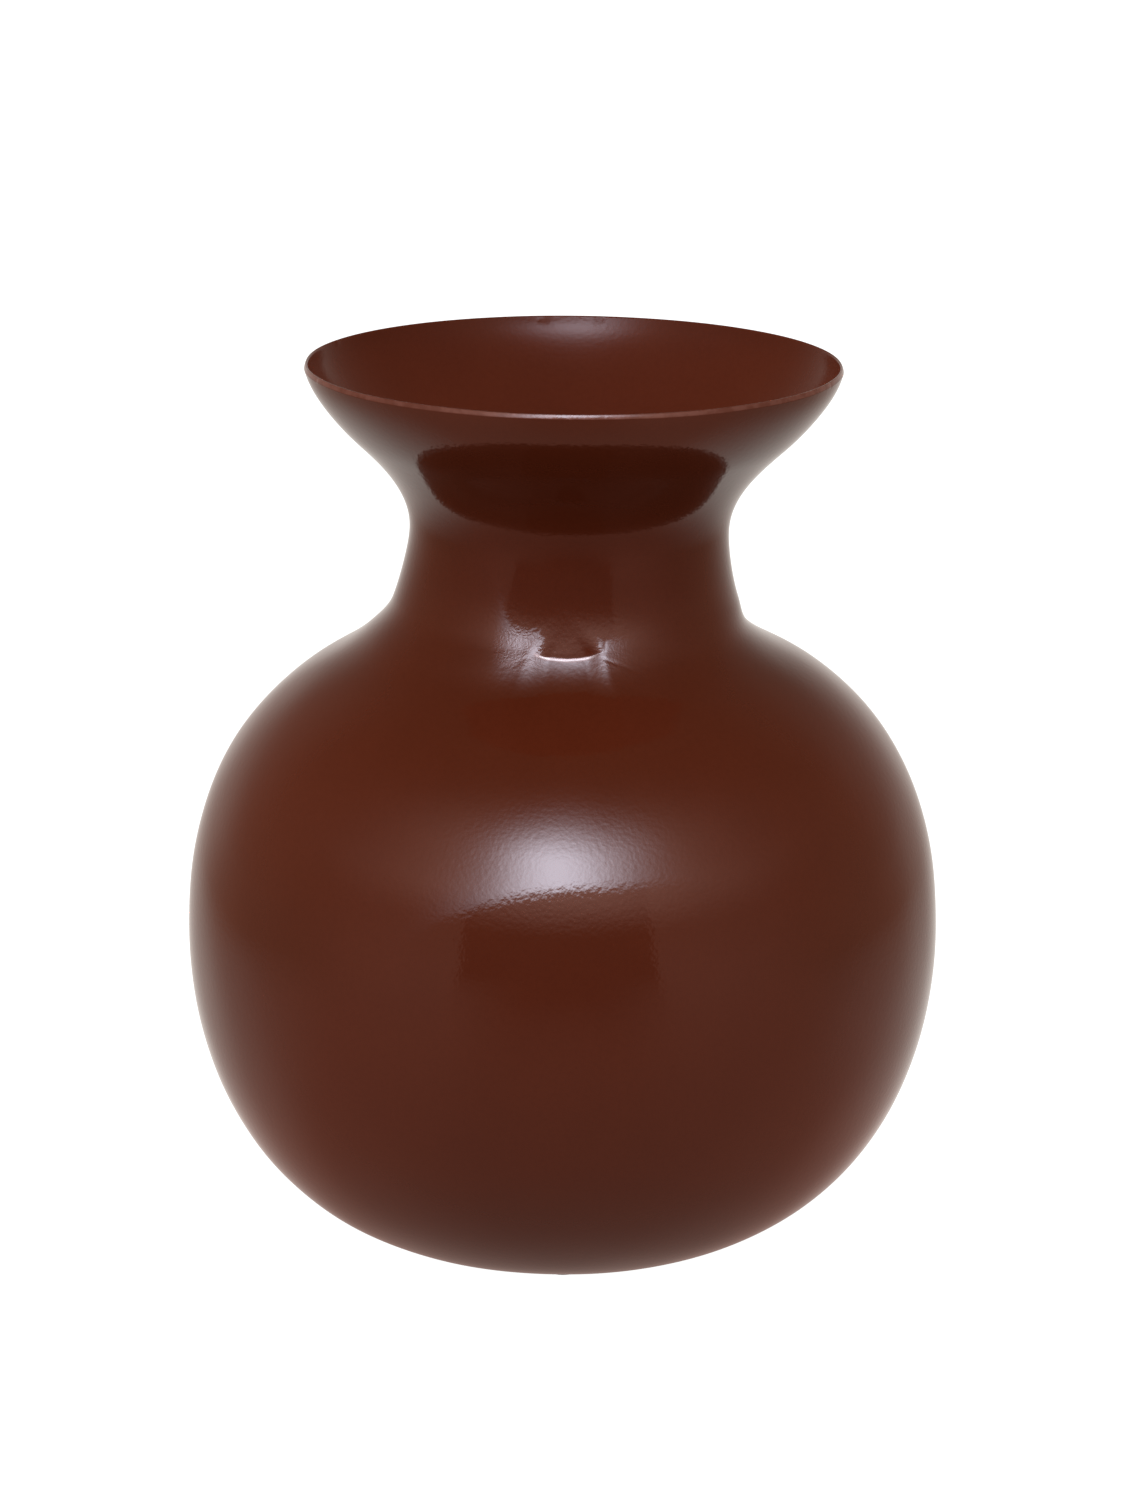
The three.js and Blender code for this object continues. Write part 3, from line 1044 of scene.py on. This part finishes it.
def staged(name, points, faces):
    """A piece of the stage, from points in metres and faces."""
    mesh = bpy.data.meshes.new(name)
    mesh.from_pydata([tuple(p) for p in points], [], faces)
    obj = bpy.data.objects.new(name, mesh)
    bpy.context.scene.collection.objects.link(obj)
    return obj


def sheet(name, half, z):
    """A square sheet at a height."""
    corners = [(-half, -half, z), (half, -half, z), (half, half, z), (-half, half, z)]
    return staged(name, corners, [(0, 1, 2, 3)])


def lit(obj, name, shader_of):
    """Give a stage piece a material, from a function that gets a Wire and returns a shader."""
    material, wire = new_finish(name)
    show(shader_of(wire))
    material.cycles.emission_sampling = "NONE"
    obj.data.materials.append(material)


def glow(wire, colour, strength):
    """A surface that gives light."""
    return wire.node("ShaderNodeEmission", 0, None, Color=colour, Strength=strength)


def added(first, second):
    """Two shaders over one another."""
    return first.node("ShaderNodeAddShader", 0, None, _0=first, _1=second)


def only_mirrored(obj):
    """Hide a stage piece from everything but reflections."""
    obj.visible_camera = obj.visible_diffuse = obj.visible_shadow = False


def bearing(wire):
    """Where a point of the stage lies: its bearing and height angle in degrees, and how far it is.

    The bearing, off the camera's side, is the arc tangent of x over minus y, and the height angle is
    the arc sine of z over the distance.
    """
    spot = wire.spot()
    x, y, z = (spot.axis(k) for k in range(3))
    far = spot.vector("LENGTH", 1)
    aside = wire.math("ARCTAN2", x, -y) * DEGREES
    lift = wire.math("ARCSINE", z / far) * DEGREES
    return aside, lift, far


# %% [markdown]
# ### The floor and the room
#
# The paper on the floor is white to the lens and gives the vase only a little light from below. The
# room is a colour for each bearing.

# %% Paper, room and mirrored floor
PAPER_DARK, PAPER_LIGHT = (0.12, 0.12, 0.12, 1), (0.13, 0.13, 0.13, 1)
PAPER_GLOW = 0.16
PAPER_TO_LENS = 0.86

# Colours of the mirrored room: towards the camera, to its sides, to the vase's sides, behind it, above
FRONT_SIDE = (0.34, 0.108, 0.072, 1)
SIDE = (0.74, 0.335, 0.25, 1)
BESIDE = (0.38, 0.205, 0.145, 1)
BACK = (0.83, 0.775, 0.725, 1)
CEILING = (0.04, 0.06, 0.04, 1)

# Colours of the mirrored floor: close by in front and behind, and right under the vase's edge, where the
# vase's shadow on the floor is painted in
NEAR_FRONT = (0.66, 0.272, 0.198, 1)
NEAR_BACK = (0.90, 0.835, 0.78, 1)
SHADOW_UNDER_FRONT = (0.38, 0.274, 0.242, 1)
SHADOW_UNDER_BACK = (0.46, 0.48, 0.46, 1)

# Bearings in degrees: the dim part's middle and its edge far off and close by, then the turn to the
# vase's sides, to what lies behind it, and to the floor's rear
DIM_MIDDLE = -1.5
DIM_EDGE, DIM_EDGE_NEAR = (27.5, 29.1), (8, 36)
TO_BESIDE, TO_BEHIND, TO_REAR = (40, 88), (108, 180), (58, 150)

# Distances in metres: from close by to far off, from under the edge to near, from near to the room
NEAR_TO_FAR, UNDER_TO_NEAR, NEAR_TO_ROOM = (0.4, 1.8), (0.034, 0.165), (0.05, 0.9)


def paper(wire):
    """The floor: pale paper, slightly uneven, and evenly white to the lens."""
    tone = wire.spot().noise(5, 3)
    pale = wire.node("ShaderNodeBsdfDiffuse", 0, None, Color=wire.mix(tone, PAPER_DARK, PAPER_LIGHT))
    to_lens = wire.node("ShaderNodeLightPath", "Is Camera Ray")
    return added(pale, glow(wire, WHITE, PAPER_GLOW + PAPER_TO_LENS * to_lens))


def room_round(wire, aside, far):
    """The room's colour by bearing: dim towards the camera, lighter to its sides, bright behind.

    The dim part has sharp edges far off and soft ones close by. Also how far behind a point lies.
    """
    off = abs(aside)
    sharp = abs(aside - DIM_MIDDLE).ramp(*DIM_EDGE)
    soft = off.ramp(*DIM_EDGE_NEAR)
    distant = far.ramp(*NEAR_TO_FAR)
    side = sharp * distant + soft * (1 - distant)
    behind = off.ramp(*TO_BEHIND)
    colour = wire.mix(off.ramp(*TO_BESIDE), wire.mix(side, FRONT_SIDE, SIDE), BESIDE)
    return wire.mix(behind, colour, BACK), behind


def mirrored_floor(wire):
    """What the gloss mirrors of the floor: the room's colour far off, lighter near, and dim at the vase with
    its painted shadow.
    """
    aside, _, far = bearing(wire)
    room, _ = room_round(wire, aside, far)
    rear = abs(aside).ramp(*TO_REAR)
    near = wire.mix(rear, NEAR_FRONT, NEAR_BACK)
    # Under the vase's edge the mirrored floor is dimmed: a painted shadow of the vase
    under = wire.mix(rear, SHADOW_UNDER_FRONT, SHADOW_UNDER_BACK)
    near = wire.mix(far.ramp(*UNDER_TO_NEAR), under, near)
    return glow(wire, wire.mix(far.ramp(*NEAR_TO_ROOM), near, room), 1.0)


FLOOR_HALF = 20
MIRRORED_BELOW = -0.002
floor = sheet("floor", FLOOR_HALF, 0)
floor.visible_glossy = False
lit(floor, "paper", paper)
under_floor = sheet("mirrored_floor", FLOOR_HALF, MIRRORED_BELOW)
only_mirrored(under_floor)
lit(under_floor, "mirrored_floor", mirrored_floor)
print("floors laid")

# %% [markdown]
# ### The studio
#
# The soft light draws the highlight on the belly and the bright shape round the fold. It is a formula
# on the dome, not a lamp, because its edge is curved and its sides fade.

# %% Mirrored studio
# Soft light: colour, strength, and in degrees its lower edge with tilt and sag, where it starts to fall
# off upwards, how fast, its middle and its width
SOFT_COLOUR, SOFT_STRENGTH = (0.794, 0.84, 1, 1), 13.2
SOFT_EDGE, SOFT_TILT, SOFT_SAG = (23.8, 28.6), 0.18, 0.0059
SOFT_TOP, SOFT_FALL = 35.6, 13.7
SOFT_MIDDLE, SOFT_WIDTH = -0.7, 18.9

# Warm glow round it: colour, strength, lower edge, fall, middle and width
HALO_COLOUR, HALO_STRENGTH = (1, 0.62, 0.524, 1), 1.81
HALO_EDGE, HALO_FALL = (8.5, 26), 22
HALO_MIDDLE, HALO_WIDTH = -1.7, 48

# Height angles over which the room turns into its ceiling, in front and behind
CEILING_FRONT, CEILING_BEHIND = (-10, 64), (0, 32)
FIRST_BOUNCE = (1.4, 1.6)


def mirrored_studio(wire):
    """What the gloss mirrors above the floor.

    The soft light starts at a lower edge, which sinks towards both sides, holds, and falls off as a
    bell upwards and sideways. Round it lies a warm glow, a bell too. Only the first reflection sees them.
    """
    aside, lift, far = bearing(wire)
    first = 1 - wire.node("ShaderNodeLightPath", "Ray Depth").ramp(*FIRST_BOUNCE)
    above = wire.math("MAXIMUM", lift - SOFT_TOP, 0.0)
    edge = (lift - SOFT_TILT * aside + SOFT_SAG * aside**2).ramp(*SOFT_EDGE)
    core = edge * ((aside - SOFT_MIDDLE) / SOFT_WIDTH).bell() * (above / SOFT_FALL).bell()
    halo = lift.ramp(*HALO_EDGE) * ((aside - HALO_MIDDLE) / HALO_WIDTH).bell() * (above / HALO_FALL).bell()
    room, behind = room_round(wire, aside, far)
    fade = lift.ramp(*CEILING_FRONT) * (1 - behind) + lift.ramp(*CEILING_BEHIND) * behind
    dim = glow(wire, wire.mix(fade, room, CEILING), 1.0)
    light = glow(wire, SOFT_COLOUR, first * SOFT_STRENGTH * core)
    round_it = glow(wire, HALO_COLOUR, first * HALO_STRENGTH * halo)
    return added(dim, added(light, round_it))


DOME_RADIUS = 6
DOME_COLUMNS, DOME_LEVELS, DOME_TOP = 48, 25, 88
dome_turns = np.arange(DOME_COLUMNS) * 2 * np.pi / DOME_COLUMNS
dome_lifts = np.radians(np.linspace(-DOME_TOP, DOME_TOP, DOME_LEVELS))
turns, lifts = np.meshgrid(dome_turns, dome_lifts, indexing="ij")
ball = np.stack([np.cos(lifts) * np.cos(turns), np.cos(lifts) * np.sin(turns), np.sin(lifts)], -1)
here = np.arange(turns.size).reshape(turns.shape)
beside = np.roll(here, -1, axis=0)
faces = np.stack([here[:, :-1], here[:, 1:], beside[:, 1:], beside[:, :-1]], -1).reshape(-1, 4)
dome = staged("studio_dome", DOME_RADIUS * ball.reshape(-1, 3), faces.tolist())
only_mirrored(dome)
lit(dome, "studio_dome", mirrored_studio)
print(f"dome of {len(faces)} faces")

# %% [markdown]
# ### Even light
#
# A plain white sky, which the gloss doesn't mirror, lights the coat's own colour. It is stronger from
# above and weaker from the right.

# %% Sky
SKY = 1.40
SKY_ABOVE = 0.68
SKY_RIGHT = -0.4
world = bpy.data.worlds.new("even_light")
bpy.context.scene.world = world
world.use_nodes = True
world.cycles_visibility.glossy = False
sky = Wire(world.node_tree)
way = sky.node("ShaderNodeTexCoord", "Generated")
strength = SKY + SKY_ABOVE * way.axis(2) + SKY_RIGHT * way.axis(0)
background = world.node_tree.nodes["Background"]
background.inputs["Color"].default_value = WHITE
world.node_tree.links.new(strength.socket, background.inputs["Strength"])
print(f"even light {SKY}, {SKY + SKY_ABOVE:.2f} from above")

# %% [markdown]
# ## Camera
#
# The lens looks a little down on the vase from about 1.8 metres. Its angle, from the ellipse of the
# mouth, and its field were measured on the picture, which is 1500 points tall.

# %% Camera
FOCAL_POINTS = 5336.5
PICTURE_POINTS = 1500
SENSOR = 36
LOOK_DOWN = math.radians(14.77)
REACH = 1.7755
AIM = 0.1682
camera = bpy.data.objects.new("camera", bpy.data.cameras.new("camera"))
bpy.context.scene.collection.objects.link(camera)
camera.location = (0, -REACH * math.cos(LOOK_DOWN), AIM + REACH * math.sin(LOOK_DOWN))
camera.rotation_euler = (math.pi / 2 - LOOK_DOWN, 0, 0)
camera.data.sensor_width = SENSOR
camera.data.lens = SENSOR * FOCAL_POINTS / PICTURE_POINTS
camera.data.clip_end = 3 * FLOOR_HALF
bpy.context.scene.camera = camera
view = bpy.context.scene.view_settings
view.view_transform = "Standard"
view.look = "None"
print(f"camera at {tuple(round(v, 3) for v in camera.location)}, lens {camera.data.lens:.1f} mm")
